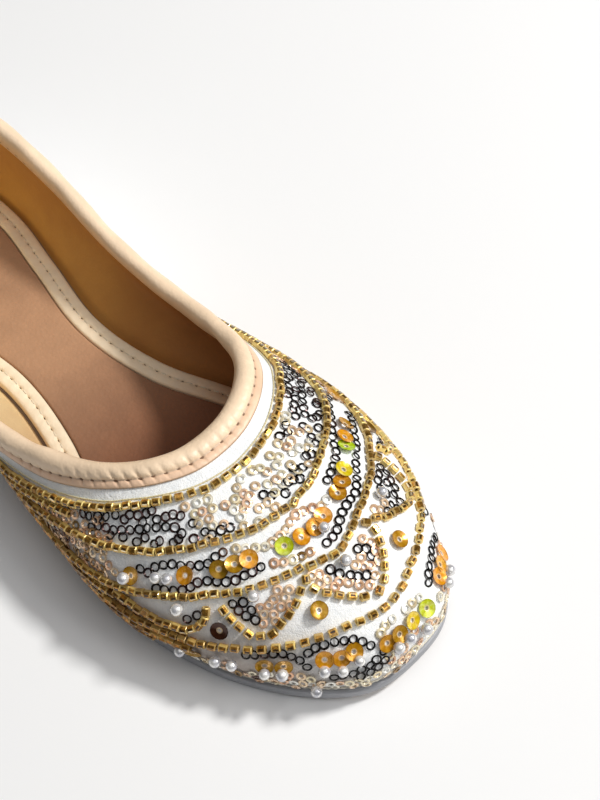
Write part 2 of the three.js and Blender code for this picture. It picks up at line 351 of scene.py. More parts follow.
class Beadwork:
    """Many copies of one small shape, sewn to the wall and joined into one piece."""

    MOST = 12000
    # Centre and reach of everything already sewn on, in millimetres.
    centres, reaches, count = np.zeros((MOST, 3)), np.zeros(MOST), 0

    def __init__(self, shape):
        self.shape = shape
        self.bm = bmesh.new()
        self.tones = []

    def room(self, p, reach):
        """Whether p is clear of everything sewn so far."""
        n = Beadwork.count
        return bool(np.all(np.linalg.norm(Beadwork.centres[:n] - p, axis=1) > reach + Beadwork.reaches[:n]))

    def sew(self, p, along, up, tone, reach, turn=0.0, tip=0.0, lean=0.0, size=1.0):
        """Puts one copy at p, its x along the row and its z out of the cloth; reach 0 is not tested."""
        if reach and not self.room(p, reach):
            return
        Beadwork.centres[Beadwork.count], Beadwork.reaches[Beadwork.count] = p, reach
        Beadwork.count += 1
        z = unit(up)
        x = unit(along - z * np.dot(along, z))
        y = np.cross(z, x)
        basis = Matrix([(x[i], y[i], z[i], 0) for i in range(3)] + [(0, 0, 0, 1)])
        for angle, axis in ((turn, "Z"), (tip, "X"), (lean, "Y")):
            basis = basis @ Matrix.Rotation(angle, 4, axis)
        copy = self.shape.copy()
        copy.transform(Matrix.Translation(metres(p)) @ basis @ Matrix.Scale(size, 4))
        self.bm.from_mesh(copy)
        bpy.data.meshes.remove(copy)
        self.tones.append(tone)

    def finish(self, name, material, slot, smooth=True, sharp=None):
        """Makes the piece, with each copy's tone on its points."""
        each = len(self.shape.vertices)
        piece = show(self.bm, name, material, slot, smooth=smooth, sharp=sharp)
        tone = piece.data.attributes.new("tone", "FLOAT", "POINT")
        tone.data.foreach_set("value", np.repeat(np.array(self.tones, np.float32), each))
        bpy.data.meshes.remove(self.shape)


def turned(profile, steps):
    """A small ring or tube: a closed profile of (radius, height) in mm spun about z."""
    bm = bmesh.new()
    corners = [bm.verts.new((r * MM, 0, z * MM)) for r, z in profile]
    edges = [bm.edges.new(pair) for pair in zip(corners, corners[1:] + corners[:1])]
    bmesh.ops.spin(
        bm, geom=corners + edges, cent=(0, 0, 0), axis=(0, 0, 1), dvec=(0, 0, 0),
        angle=2 * math.pi, steps=steps, use_merge=True, use_duplicate=False,
    )
    bmesh.ops.remove_doubles(bm, verts=bm.verts, dist=1e-7)
    bmesh.ops.recalc_face_normals(bm, faces=bm.faces)
    return bm


def template(bm, name, half_x, half_y):
    """Keeps a small shape as a mesh, with a UV map laid on it from above over 2 half_x by 2 half_y mm."""
    uv = bm.loops.layers.uv.new("Surface")
    for face in bm.faces:
        for loop in face.loops:
            c = loop.vert.co / MM
            loop[uv].uv = (c.x / half_x / 2 + 0.5, c.y / half_y / 2 + 0.5)
    mesh = bpy.data.meshes.new(name)
    bm.to_mesh(mesh)
    bm.free()
    return mesh


def along_wall(line, pitch, first=0.5, off=0.0):
    """Stations along a chart line, one each pitch mm: point, direction, normal and place on the chart.

    pitch may be a number or a function of u in hundredths."""
    u, q = line
    run = distances(WALLS.at(u, q, off))
    total = run[-1]
    stations = []
    size = pitch if callable(pitch) else (lambda _: pitch)
    s = first * size(100 * u[0])
    while s < total:
        here = float(np.interp(s, run, u)), float(np.interp(s, run, q))
        ahead = WALLS.at(*[np.interp(min(s + SIGHT, total), run, c) for c in (u, q)])
        behind = WALLS.at(*[np.interp(max(s - SIGHT, 0), run, c) for c in (u, q)])
        place = 100 * here[0], 10 * here[1]
        stations.append((WALLS.at(*here, off), unit(ahead - behind), WALLS.normal(*here), place))
        s += size(100 * here[0])
    return stations


# ---- shader helpers ----
class Amount:
    """A number in a material. Arithmetic on it adds Math nodes."""

    def __init__(self, finish, socket):
        self.finish, self.socket = finish, socket

    def _math(self, operation, *operands, clamp=False):
        settings, inputs = {"operation": operation, "use_clamp": clamp}, dict(enumerate(operands))
        return Amount(self.finish, self.finish.node("ShaderNodeMath", settings, inputs).outputs[0])

    def __add__(self, other):
        return self._math("ADD", self, other)

    def __sub__(self, other):
        return self._math("SUBTRACT", self, other)

    def __rsub__(self, other):
        return self._math("SUBTRACT", other, self)

    def __mul__(self, other):
        return self._math("MULTIPLY", self, other)

    def __pow__(self, other):
        return self._math("POWER", self, other)

    __radd__, __rmul__ = __add__, __mul__

    def clamped(self):
        return self._math("ADD", self, 0.0, clamp=True)

    def absolute(self):
        return self._math("ABSOLUTE", self)

    def cosine(self):
        return self._math("COSINE", self)

    def angle_with(self, other):
        return self._math("ARCTAN2", self, other)

    def between(self, low, high):
        """Smooth step: 0 at low, 1 at high."""
        node = self.finish.node(
            "ShaderNodeMapRange", {"interpolation_type": "SMOOTHSTEP"},
            {"Value": self, "From Min": low, "From Max": high},
        )
        return Amount(self.finish, node.outputs[0])


class Finish:
    """The node tree of one material, on a Principled shader."""

    def __init__(self, name, **constants):
        self.material = bpy.data.materials.new(name)
        self.material.use_nodes = True
        self.tree = self.material.node_tree
        self.tree.nodes.clear()
        names = [key.replace("_", " ").title().replace("Ior", "IOR") for key in constants]
        self.shader = self.node("ShaderNodeBsdfPrincipled", {}, dict(zip(names, constants.values())))
        self.node("ShaderNodeOutputMaterial", {}, {"Surface": self.shader.outputs[0]})

    def node(self, kind, settings=None, inputs=None):
        node = self.tree.nodes.new(kind)
        for key, value in (settings or {}).items():
            setattr(node, key, value)
        for key, value in (inputs or {}).items():
            socket = node.inputs[key]
            value = value.socket if isinstance(value, Amount) else value
            if isinstance(value, bpy.types.NodeSocket):
                self.tree.links.new(value, socket)
            else:
                socket.default_value = value
        return node

    def place(self):
        """Where the surface is, in metres."""
        return self.node("ShaderNodeTexCoord").outputs["Object"]

    def parts(self, vector):
        """A vector as three amounts."""
        split = self.node("ShaderNodeSeparateXYZ", {}, {0: vector})
        return [Amount(self, socket) for socket in split.outputs]

    def surface(self):
        """The piece's own UVs as two amounts."""
        return self.parts(self.node("ShaderNodeUVMap", {"uv_map": "Surface"}).outputs[0])[:2]

    def beneath_vamp(self, full, none):
        """1 beneath the vamp, as far back as y = full, and 0 from y = none on."""
        return 1 - self.parts(self.place())[1].between(full, none)

    def low_outside(self, heights, sides):
        """1 low on the outer side, fading out up over `heights` and across over `sides`, in metres."""
        across, _, high = self.parts(self.place())
        return (1 - high.between(*heights)) * (1 - across.between(*sides))

    def noise(self, size_mm, detail=2.0, roughness=0.5, stretch=(1, 1, 1)):
        """Noise in object space whose blotches are about size_mm across."""
        where = self.node("ShaderNodeMapping", {}, {"Vector": self.place(), "Scale": stretch}).outputs[0]
        inputs = {"Vector": where, "Scale": 1000 / size_mm, "Detail": detail, "Roughness": roughness}
        return Amount(self, self.node("ShaderNodeTexNoise", {}, inputs).outputs[0])

    def cells(self, size_mm):
        """Grain: 0 at the middle of a cell, more towards its edge."""
        inputs = {"Vector": self.place(), "Scale": 1000 / size_mm}
        return Amount(self, self.node("ShaderNodeTexVoronoi", {}, inputs).outputs[0])

    def tone(self):
        """The tone that each sewn copy was given."""
        return Amount(self, self.node("ShaderNodeAttribute", {"attribute_name": "tone"}).outputs["Fac"])

    def mix(self, factor, a, b, blend="MIX"):
        """Mixes two colours (tuples or sockets)."""
        a, b = ((*c, 1) if isinstance(c, (tuple, list)) else c for c in (a, b))
        settings = {"data_type": "RGBA", "blend_type": blend}
        return self.node("ShaderNodeMix", settings, {0: factor, 6: a, 7: b}).outputs[2]

    def ramp(self, factor, stops):
        """A colour from a list of (place, colour)."""
        node = self.node("ShaderNodeValToRGB", {}, {0: factor})
        elements = node.color_ramp.elements
        while len(elements) < len(stops):
            elements.new(0.5)
        for element, (position, colour) in zip(elements, stops):
            element.position, element.color = position, (*colour, 1)
        return node.outputs[0]

    def put(self, **links):
        """Feeds amounts or colours to the shader's inputs of the same names."""
        for key, value in links.items():
            value = value.socket if isinstance(value, Amount) else value
            self.tree.links.new(value, self.shader.inputs[key.replace("_", " ").title()])
        return self

    def relief(self, height, depth_mm, strength):
        """Raises the surface by an amount."""
        inputs = {"Height": height, "Distance": depth_mm * MM, "Strength": strength}
        return self.put(normal=self.node("ShaderNodeBump", {}, inputs).outputs[0])


def shade(colour, by):
    """A colour made lighter or darker."""
    return tuple(min(1.0, c * by) for c in colour[:3])


def velvet(name, colour):
    """Short pile. The brown low on the outer side stands in for shade; the cloth is probably even there. The
    bluish grey in the pile's hollows is painted shade, and the near-white flecks on the raised fibres are
    painted glints.
    """
    f = Finish(name, sheen_weight=0.55, sheen_roughness=0.45, specular_ior_level=0.2)
    nap, pile, fibre = f.noise(3.5, 4, 0.65), f.noise(1.1, 4, 0.7), f.noise(0.35, 2, 0.6)
    shares = (0.95, 0.965, 0.98), (0.72, 0.77, 0.87)
    dull, hollow = ([c * by for c, by in zip(colour, share)] for share in shares)
    cool = f.mix(nap.between(0.35, 0.62), dull, shade(colour, 1.03))
    # Painted shade: bluish grey where the pile is low, in its hollows.
    hollow_shaded = f.mix((1 - pile.between(0.25, 0.5)) * 0.3, cool, hollow)
    # Painted glints: near-white flecks where the fibres stand up.
    glinting_tips = f.mix(fibre.between(0.55, 0.75) * 0.6, hollow_shaded, (0.99, 0.99, 1.0))
    low = f.low_outside((0.008, 0.034), (-0.034, -0.002))
    f.put(base_color=f.mix(low * 0.8, glinting_tips, (0.36, 0.25, 0.17)), roughness=0.78 + pile * 0.2)
    return f.relief(pile * 0.65 + fibre * 0.45 + nap * 0.6, 0.45, 0.9).material


def leather(name, colour, grain_mm, gloss, wear, relief, under, fade, inner=(1, 1, 1)):
    """Tanned leather, tinted by `under` beneath the vamp and by `inner` on the inner side.

    The tints stand in for shade; the leather is probably even. The first ends at y = fade, in metres.
    """
    f = Finish(name, specular_ior_level=0.45, coat_weight=0.05, coat_roughness=0.35)
    across = f.parts(f.place())[0]
    cloud, grain, pore = f.noise(26, 4, 0.6), f.cells(grain_mm), f.noise(grain_mm * 0.4, 2)
    tan = f.mix(cloud.between(0.3, 0.7), shade(colour, 0.84), shade(colour, 1.1))
    rubbed = f.mix(f.noise(5, 5, 0.7).between(0.55, 0.75) * 0.3 * wear, tan, shade(colour, 1.35))
    scuff = f.noise(3.2, 6, 0.75, (1, 0.25, 1)).between(0.6, 0.8)
    scuffed = f.mix(scuff * 0.3 * wear, rubbed, shade(colour, 0.6))
    grained = f.mix(grain.between(0.0, 0.5) * 0.14, scuffed, shade(colour, 0.72))
    tinted = f.mix(across.between(0.0, 0.02), grained, inner, "MULTIPLY")
    shaded = f.mix(f.beneath_vamp(-0.036, fade), tinted, under, "MULTIPLY")
    f.put(base_color=shaded, roughness=gloss + cloud * 0.18 + pore * 0.1)
    return f.relief(grain * 0.7 + pore * 0.5, relief, 0.7).material


def collar_leather(name, roll, flange, stitches, seam_row, inner_row, rows):
    """Padded roll with a flange of a warmer tone outside the seam. The dark slots at the seam's tucks and the
    dark line along the roll's lower inner edge, where it meets the lining, are painted shade.

    seam_row and inner_row are rows of the section, counted from the flange's edge, out of `rows`.
    """
    f = Finish(name, specular_ior_level=0.5, coat_weight=0.1, coat_roughness=0.3)
    u, v = f.surface()
    cloud, grain = f.noise(14, 4, 0.6), f.cells(0.9)
    body = f.mix(cloud.between(0.3, 0.7), shade(roll, 0.92), shade(roll, 1.05))
    edge = f.mix(cloud.between(0.3, 0.7), shade(flange, 0.88), shade(flange, 1.06))
    at = seam_row / rows
    cut = f.mix((v - 0.5 / rows).absolute().between(0.6 / rows, 1.3 / rows), shade(flange, 0.55), edge)
    toned = f.mix(v.between(at - 0.9 / rows, at + 0.7 / rows), cut, body)
    seam = f.mix((1 - (v - at).absolute().between(0.2 / rows, 1.5 / rows)) * 0.45, toned, shade(flange, 0.42))
    crease = f.noise(1.7, 3, 0.6)
    # Painted shade: a dark line along the roll's lower inner edge, where it meets the lining.
    edge_shade = 1 - (v - (inner_row + 3) / rows).absolute().between(0.4 / rows, 1.4 / rows)
    edge_shaded = f.mix(edge_shade * 0.55, seam, shade(flange, 0.4))
    worn = f.mix(crease.between(0.6, 0.8) * 0.22, edge_shaded, shade(roll, 0.7))
    pulled = (u * (stitches * 2 * math.pi)).cosine() * -1.0
    # slot is painted shade in the pleats that the stitches pull in; hole is the pricked holes along the inner
    # side.
    slot = pulled.between(0.45, 0.95) * (1 - (v - at).absolute().between(0.5 / rows, 1.3 / rows))
    hole = pulled.between(0.3, 0.8) * (1 - (v - inner_row / rows).absolute().between(0.3 / rows, 0.9 / rows))
    # The dark mix below holds both the pricked holes and the painted shade of the tucks.
    pricked = (slot * 0.75 + hole * 0.8).clamped()
    f.put(base_color=f.mix(pricked, worn, (0.10, 0.055, 0.03)), roughness=0.38 + cloud * 0.16)
    return f.relief(grain * 0.45 + crease * 0.7 - hole * 1.5, 0.2, 0.6).material


def strip_leather(name, colour, stitches, middle, rows):
    """Cream strip with pricked holes along its middle. The tint beneath the vamp stands in for shade."""
    f = Finish(name, specular_ior_level=0.45, coat_weight=0.05)
    u, v = f.surface()
    cloud, grain = f.noise(18, 4, 0.6), f.cells(0.9)
    body = f.mix(cloud.between(0.3, 0.7), shade(colour, 0.9), shade(colour, 1.06))
    line = 1 - (v - middle / rows).absolute().between(0.3 / rows, 1.2 / rows)
    hole = (u * (stitches * 2 * math.pi)).cosine().between(0.8, 0.98) * line
    creased = f.mix(line * 0.08, body, shade(colour, 0.6))
    shaded = f.mix(f.beneath_vamp(-0.034, 0.0), creased, (0.6, 0.43, 0.34), "MULTIPLY")
    f.put(base_color=f.mix(hole * 0.85, shaded, (0.09, 0.045, 0.02)), roughness=0.45 + cloud * 0.15)
    return f.relief(grain * 0.5 + hole * -1.4, 0.2, 0.6).material


def sole_leather(name, edge, tread, rows):
    """Smooth painted edge and outer rim of the top; plain scuffed leather on the tread side and on the top
    inside the wall, where its dark brown is also painted shade in the gap between the insole's strip and the
    wall.
    """
    f = Finish(name, specular_ior_level=0.5)
    _, v = f.surface()
    cloud, grain = f.noise(22, 4, 0.6), f.noise(0.8, 4, 0.7)
    painted = f.mix(cloud.between(0.3, 0.7), shade(edge, 0.86), shade(edge, 1.08))
    layers = f.noise(1.4, 3, 0.6, (0.08, 0.08, 1)).between(0.4, 0.75) * 0.25
    painted = f.mix(layers, painted, shade(edge, 0.6))
    raw = f.mix(cloud.between(0.35, 0.7), shade(tread, 0.7), shade(tread, 1.12))
    raw = f.mix(f.noise(6, 6, 0.8, (1, 0.15, 1)).between(0.55, 0.75) * 0.5, raw, shade(tread, 0.45))
    # under: raw leather on the tread and on the top inside the wall; on the top it is also painted shade for
    # the gap beside the strip.
    under = (1 - v.between(5.6 / rows, 7.0 / rows)) + v.between(15.2 / rows, 15.8 / rows)
    f.put(base_color=f.mix(under, painted, raw), roughness=0.36 + grain * 0.15 + under * 0.3)
    return f.relief(grain + layers * 1.5, 0.14, 0.5).material


def stacked_leather(name, colour):
    """Thin layers of leather, as a heel is built."""
    f = Finish(name, specular_ior_level=0.5)
    grain, layers = f.noise(0.8, 4, 0.7), f.noise(1.0, 3, 0.6, (0.05, 0.05, 1))
    toned = f.mix(layers.between(0.35, 0.7), shade(colour, 0.7), shade(colour, 1.15))
    scuffed = f.mix(f.noise(4, 5, 0.7).between(0.55, 0.8) * 0.5, toned, shade(colour, 0.5))
    f.put(base_color=scuffed, roughness=0.42 + grain * 0.2)
    return f.relief(grain + layers, 0.16, 0.5).material


def thread(name, colour):
    """Twisted thread."""
    f = Finish(name, sheen_weight=0.2)
    twist = f.noise(0.28, 2, 0.6, (1, 3, 1))
    f.put(base_color=f.mix(twist, shade(colour, 0.6), shade(colour, 1.3)), roughness=0.55 + twist * 0.3)
    return f.relief(twist, 0.1, 0.8).material


def gilt_glass(name, clear, core, slot):
    """Cut tube bead: a clear gold rim round a foiled core with a dark slot.

    The tint low on the outer side stands in for shade, and the bright line along each bead is a painted
    highlight.
    """
    f = Finish(name, coat_weight=0.35, coat_roughness=0.06, specular_ior_level=0.5)
    u, v = f.surface()
    tone = f.tone()
    across, along = (v - (0.42 + tone * 0.14)).absolute(), (u - 0.5).absolute()
    rim = (along.between(0.3, 0.42) + (v - 0.5).absolute().between(0.36, 0.47)).clamped()
    hollow = (1 - along.between(0.24, 0.31)) * (1 - across.between(0.09, 0.16)) * tone.between(0.1, 0.25)
    # Painted highlight: a pale gold line along each bead, stronger on lighter copies.
    line = 1 - (v - 0.74).absolute().between(0.03, 0.1)
    painted_highlight = (1 - along.between(0.18, 0.38)) * line * tone.between(0.15, 0.5)
    metal = f.mix(f.noise(1.1, 3, 0.6).between(0.38, 0.62), shade(core, 0.5), shade(core, 1.6))
    metal = f.mix((1 - tone.between(0.0, 0.5)) * 0.6, metal, shade(core, 0.3))
    gilded = f.mix(rim * 0.9, metal, f.mix(tone, shade(clear, 0.7), shade(clear, 1.2)))
    low = f.low_outside((0.012, 0.036), (-0.036, -0.01))
    shaded = f.mix(low * 0.85, gilded, (0.5, 0.36, 0.22), "MULTIPLY")
    slotted = f.mix(hollow * 0.95, f.mix(painted_highlight * 0.95, shaded, (1.0, 0.9, 0.6)), slot)
    f.put(base_color=slotted, metallic=0.75 - rim * 0.4 - hollow * 0.5, roughness=0.2 + rim * 0.12)
    return f.relief(f.noise(0.9, 2), 0.05, 0.5).material


# The colours that a sequin's tone runs through, as (tone, colour).
RING_TONES = (
    (0.0, (0.004, 0.003, 0.003)), (0.2, (0.012, 0.005, 0.005)), (0.34, (0.085, 0.026, 0.024)),
    (0.46, (0.32, 0.19, 0.06)), (0.57, (0.80, 0.44, 0.26)), (0.7, (0.88, 0.60, 0.38)),
    (0.84, (0.84, 0.72, 0.46)), (1.0, (0.90, 0.88, 0.80)),
)
DISC_TONES = (
    (0.0, (0.055, 0.014, 0.003)), (0.3, (0.44, 0.24, 0.006)), (0.55, (0.93, 0.38, 0.006)),
    (0.8, (0.92, 0.70, 0.008)), (1.0, (0.52, 0.84, 0.008)),
)


def metallised(name, stops, petals=0):
    """Plated film of a sequin, its colour from the tone of each copy; a disc also has pressed petals."""
    f = Finish(name, coat_roughness=0.08)
    u, v = f.surface()
    x, y = u - 0.5, v - 0.5
    reach = (x * x + y * y) ** 0.5
    tone = f.tone()
    film = f.ramp(tone, stops)
    flash = f.noise(1.6, 2, 0.6).between(0.42, 0.7)
    pale = tone.between(0.3, 0.7)
    lit = f.mix(flash * (pale * 0.22 + 0.012), film, (1, 0.9, 0.72), "SCREEN")
    if petals:
        fan = (x.angle_with(y) * petals).cosine() * 0.5 + 0.5
        lit = f.mix(fan * 0.45, lit, (0.66, 0.5, 0.3), "MULTIPLY")
        lit = f.mix((1 - reach.between(0.15, 0.19)) * 0.7, lit, (0.95, 0.72, 0.45))
    rim = f.mix(reach.between(0.4, 0.48) * 0.35, lit, (0.25, 0.2, 0.17), "MULTIPLY")
    metal, less = (0.4, 0.2) if petals else (0.75, 0.45)
    f.put(base_color=rim, metallic=metal - tone * less)
    f.put(roughness=0.2 + flash * 0.16, coat_weight=pale * 0.4 + 0.05)
    return f.relief(reach * 0.8 + flash * 0.15, 0.15, 0.4).material


def pearl_lacquer(name, colour):
    """Lacquered pearl whose cream turns grey in slow patches."""
    f = Finish(name, metallic=0.4, coat_weight=0.8, coat_roughness=0.08, specular_ior_level=0.6)
    lustre = f.noise(2.2, 2, 0.5)
    cream = f.mix(lustre.between(0.35, 0.65), (0.58, 0.58, 0.63), colour)
    f.put(base_color=cream, roughness=0.16 + lustre * 0.12)
    return f.relief(lustre, 0.04, 0.3).material


def plain_floor(name, colour):
    """Pale matt floor."""
    f = Finish(name, specular_ior_level=0.2)
    cloud = f.noise(160, 2)
    f.put(base_color=f.mix(cloud, shade(colour, 0.995), colour[:3]), roughness=0.62 + cloud * 0.1)
    return f.material


# ---- the beadwork chart: u in hundredths of the way round from the toe, q in tenths of the way down ----
# Rows of gold beads, each repeated on the other side.
ROWS = {
    "collar": [(0, 1.4), (3, 1.38), (6, 1.44), (9, 1.53), (12, 1.72), (14, 1.98), (16, 2.22), (18, 2.55),
        (20, 2.95), (22, 3.3), (24.5, 3.8), (27, 4.3)],
    "upper": [(0, 3.4), (1, 3.3), (3, 3.28), (5, 3.27), (7, 3.34), (9, 3.5), (11, 3.65), (13, 3.88),
        (15, 4.1), (17, 4.25), (20, 4.5), (24, 4.8), (27, 5.0)],
    "lower": [(0, 5.36), (1, 5.24), (2.5, 5.12), (4, 5.04), (5.5, 5.12), (7, 5.24), (9, 5.37), (11, 5.58),
        (13, 5.88), (15, 6.2), (17, 6.4), (20, 6.35), (24, 6.0), (27, 5.7)],
    "toe": [(0, 7.5), (1.5, 7.42), (3, 7.28), (4.5, 7.28), (6, 7.36), (7.5, 7.5), (9, 7.62), (11, 7.74),
        (13, 7.82), (16, 7.85), (20, 7.4), (24, 6.8), (27, 6.4)],
}
# Outlines of the petals below the lower row, each repeated on the other side.
PETAL_EDGES = [
    [(3.1, 5.25), (3.5, 5.5), (3.4, 5.78), (3.0, 6.05), (2.4, 6.35), (1.6, 6.65), (0.8, 6.9), (0, 7.02)],
    [(3.9, 5.5), (4.9, 5.96), (5.9, 6.35), (6.9, 6.75), (7.8, 7.03), (8.6, 7.02), (9.1, 6.7), (9.35, 6.3),
      (9.4, 5.9), (9.3, 5.62)],
    [(10.4, 5.95), (10.7, 6.4), (11.3, 6.85), (12.2, 7.2), (13.4, 7.3), (14.6, 7.1), (15.6, 6.75)],
]
# Extra rows that fill the sides, where the main rows run together.
SIDE_ROWS = [
    [(17.5, 3.1), (20, 3.6), (23, 4.05), (27, 4.5)],
    [(18.6, 3.6), (21, 4.1), (24, 4.45), (27, 4.75)],
    [(19.8, 5.0), (22, 5.05), (24.5, 5.1), (27, 5.2)],
    [(20.4, 5.6), (23, 5.5), (27, 5.45)],
    [(14.6, 6.75), (17, 6.95), (20, 6.8), (24, 6.3), (27, 5.95)],
    [(16.5, 7.35), (18.5, 7.25), (21, 7.0), (24, 6.6), (27, 6.2)],
    [(12.5, 8.3), (15, 8.4), (18, 8.2), (21, 7.7), (24, 7.1), (27, 6.6)],
    [(14.5, 8.85), (17, 8.85), (20, 8.3), (23, 7.6), (27, 6.9)],
    [(16.8, 9.3), (19, 9.1), (22, 8.3), (25, 7.6), (27, 7.2)],
]
# The thread along the foot of the wall.
EDGE_LINE = [(0, 9.72), (6, 9.72), (12, 9.7), (18, 9.66), (24, 9.6), (27, 9.55)]
# The chain at either end of the upper band.
BAND_END = [
    (16.3, 3.38), (15.3, 3.15), (14.2, 3.1), (13.6, 2.98), (12.6, 2.85), (11.6, 2.7), (10.2, 2.64),
    (9.1, 2.64),
]
# Chains of ring sequins: (points, tone, tone spread).
CHAINS = [
    ([(-13.7, 4.8), (-13.2, 4.92), (-12.6, 4.57), (-11.4, 4.3), (-9.7, 4.25), (-9.2, 4.3), (-8.6, 4.1),
      (-7.8, 3.9), (-7, 3.76)], 0.12, 0.12),
    ([(-6.3, 3.7), (-5, 3.84), (-4, 3.95), (-3, 3.9), (-1.4, 3.75), (0, 3.64), (1.4, 3.85), (2.6, 4.08),
      (3.3, 3.88)], 0.76, 0.14),
    ([(4.2, 3.74), (5.8, 3.84), (7.2, 3.9), (8.4, 3.77), (9.6, 3.84), (11, 3.9), (12.8, 4.2),
      (13.6, 4.7)], 0.1, 0.1),
    ([(-13.2, 5.6), (-12.1, 5.5), (-10.9, 5.24), (-10.2, 4.98), (-9.4, 4.86), (-8, 4.92), (-6.6, 4.72),
      (-5.4, 4.54)], 0.14, 0.14),
    ([(-4.6, 4.52), (-3.3, 4.68), (-1.4, 4.8)], 0.66, 0.12),
    ([(-0.4, 4.9), (1, 4.88), (2.3, 4.68), (3.7, 4.64), (5.7, 4.8), (7.6, 4.7), (9.7, 4.9), (11, 4.95),
      (13.2, 5.5)], 0.06, 0.08),
    ([(-6.4, 7.86), (-5.7, 7.66), (-4.9, 7.58), (-4.1, 7.62), (-3.3, 7.83), (-2.7, 8.18)], 0.02, 0.04),
    ([(-9.8, 7.98), (-8.7, 7.86), (-7.8, 7.78), (-7.1, 7.92), (-6.7, 8.38)], 0.05, 0.08),
    ([(-2.2, 8.55), (-3, 8.72), (-4, 8.82), (-5, 8.92), (-6.1, 8.88)], 0.02, 0.05),
    ([(-2.4, 8.86), (-3.3, 9.02), (-4.3, 9.1)], 0.1, 0.15),
    ([(3.2, 8.18), (3.9, 8.0), (4.8, 8.0), (5.7, 8.06), (6.6, 8.2), (7.2, 8.5)], 0.04, 0.06),
    ([(8, 7.95), (9.2, 7.95), (10.4, 8.1), (11.4, 8.3)], 0.1, 0.12),
    ([(-0.4, 7.92), (-1.3, 7.94), (-2.1, 8.06)], 0.9, 0.1),
    ([(0.5, 7.98), (1.4, 8.06), (2.3, 8.16)], 0.92, 0.1),
    ([(-14, 9.3), (-9, 9.28), (-4, 9.3), (0, 9.34), (4, 9.3), (9, 9.28), (14, 9.3)], 0.82, 0.2),
    ([(-u, q) for u, q in BAND_END], 0.12, 0.14), (BAND_END, 0.1, 0.12),
    ([(-19.4, 4.95), (-18, 4.95), (-16.2, 4.95)], 0.6, 0.2),
    ([(19.4, 4.95), (18, 4.95), (16.2, 4.95)], 0.6, 0.2),
    ([(-15.5, 5.5), (-14.4, 5.75)], 0.7, 0.1),
    ([(14.2, 5.7), (15.5, 5.5)], 0.7, 0.1),
]
# Single rings as (u, q), dark then pale; the first list is repeated on the other side.
DARK_BOTH = [
    (16.6, 2.8), (16.1, 2.75), (15.4, 2.6), (14.7, 2.5), (13.9, 2.3), (13.4, 2.48), (12.7, 2.2),
    (12, 2.17), (11.9, 2.44), (11.2, 2.06), (10.6, 1.95), (10.6, 2.3), (9.7, 2.2), (9, 2.12), (8.4, 2.22),
    (14.9, 3.5), (14, 3.4), (13.1, 3.5), (12.3, 3.2), (11.8, 3.44), (11.3, 3.3), (10.4, 3.36),
    (9.8, 3.15), (9.2, 2.9), (8.6, 3.17), (7.9, 2.54), (7.4, 2.95), (7, 3.06), (10.6, 6.1), (11.2, 6.42),
    (11.9, 6.72), (8, 5.72), (8.7, 5.8), (8.6, 6.08), (8.3, 6.27), (7.9, 6.42), (7.8, 6.05),
]
DARK = [
    (-0.8, 2.56), (-0.3, 2.72), (0.8, 2.96), (1.8, 2.75), (2.4, 2.88), (2.9, 3.02), (3.4, 2.66),
    (4.1, 2.9), (5.2, 2.84), (5.7, 3.0), (6.8, 1.92), (6.3, 2.04), (5.4, 1.8), (-5.3, 2.95), (-6.2, 2.98),
    (1.3, 5.68), (1.8, 5.88), (1.6, 6.12), (0.2, 6.42), (-0.3, 6.26), (-0.7, 6.07), (-1.2, 5.86),
    (-1.5, 5.58), (7.4, 5.62), (6.9, 5.74), (6.8, 6.0), (6.2, 6.16), (7.2, 6.3), (7.0, 6.56), (5.4, 6.02),
    (6.3, 6.42),
]
ROSE = [
    (1, 5.92), (1.1, 6.3), (0.6, 6.16), (1.7, 6.38), (0.7, 6.6), (-0.2, 6.68), (-2.4, 5.5), (-2.2, 5.76),
    (-1.7, 6.02), (-1.2, 6.24), (-0.7, 6.46), (-2.9, 5.4), (2.2, 5.6), (2.5, 5.88), (2.1, 6.14),
    (0.2, 5.98), (-2.8, 5.74), (-2.2, 6.08), (-5.5, 5.45), (-4.8, 5.5), (-5.4, 5.75), (-6.1, 5.74),
    (-6.6, 5.9), (-6, 6.04), (-6.7, 6.26), (-7.3, 6.22), (-7.2, 5.96), (-6.9, 6.52), (-7.6, 6.6),
    (-5.4, 6.02), (4.9, 5.55), (5.2, 5.8), (5.9, 5.86), (-2.6, 2.44), (-3.2, 2.56),
]
# Cupped disc sequins as (u, q, tone).
DISCS = [
    (-2.9, 4.2, 0.95), (-1.4, 4.27, 0.55), (0.1, 4.3, 0.48), (1.4, 4.26, 0.55), (-5.8, 4.18, 0.56),
    (-7, 4.29, 0.32), (-8.2, 4.4, 0.3), (-10.7, 4.7, 0.46), (-14.3, 5.3, 0.34), (3.9, 4.22, 0.38),
    (5, 4.24, 0.44), (6.1, 4.2, 0.8), (8.4, 4.3, 1.0), (9.3, 4.3, 0.58), (10.7, 4.5, 0.36),
    (14.3, 5.2, 0.34), (-4.1, 6.46, 0.3), (4.1, 6.62, 0.36), (-10.3, 6.92, 0.03), (12.2, 6.1, 0.1),
    (-5.6, 8.1, 0.5), (-4.7, 8.16, 0.48), (-3.9, 8.1, 0.38), (-7.9, 8.3, 0.34), (-8.9, 8.34, 0.3),
    (-1.9, 8.4, 0.4), (-0.9, 8.42, 0.34), (0.5, 8.4, 0.78), (1.9, 8.5, 0.9), (4.3, 8.44, 0.58),
    (5.2, 8.46, 0.6), (6.2, 8.62, 0.58), (-12.6, 8.7, 0.3),
]
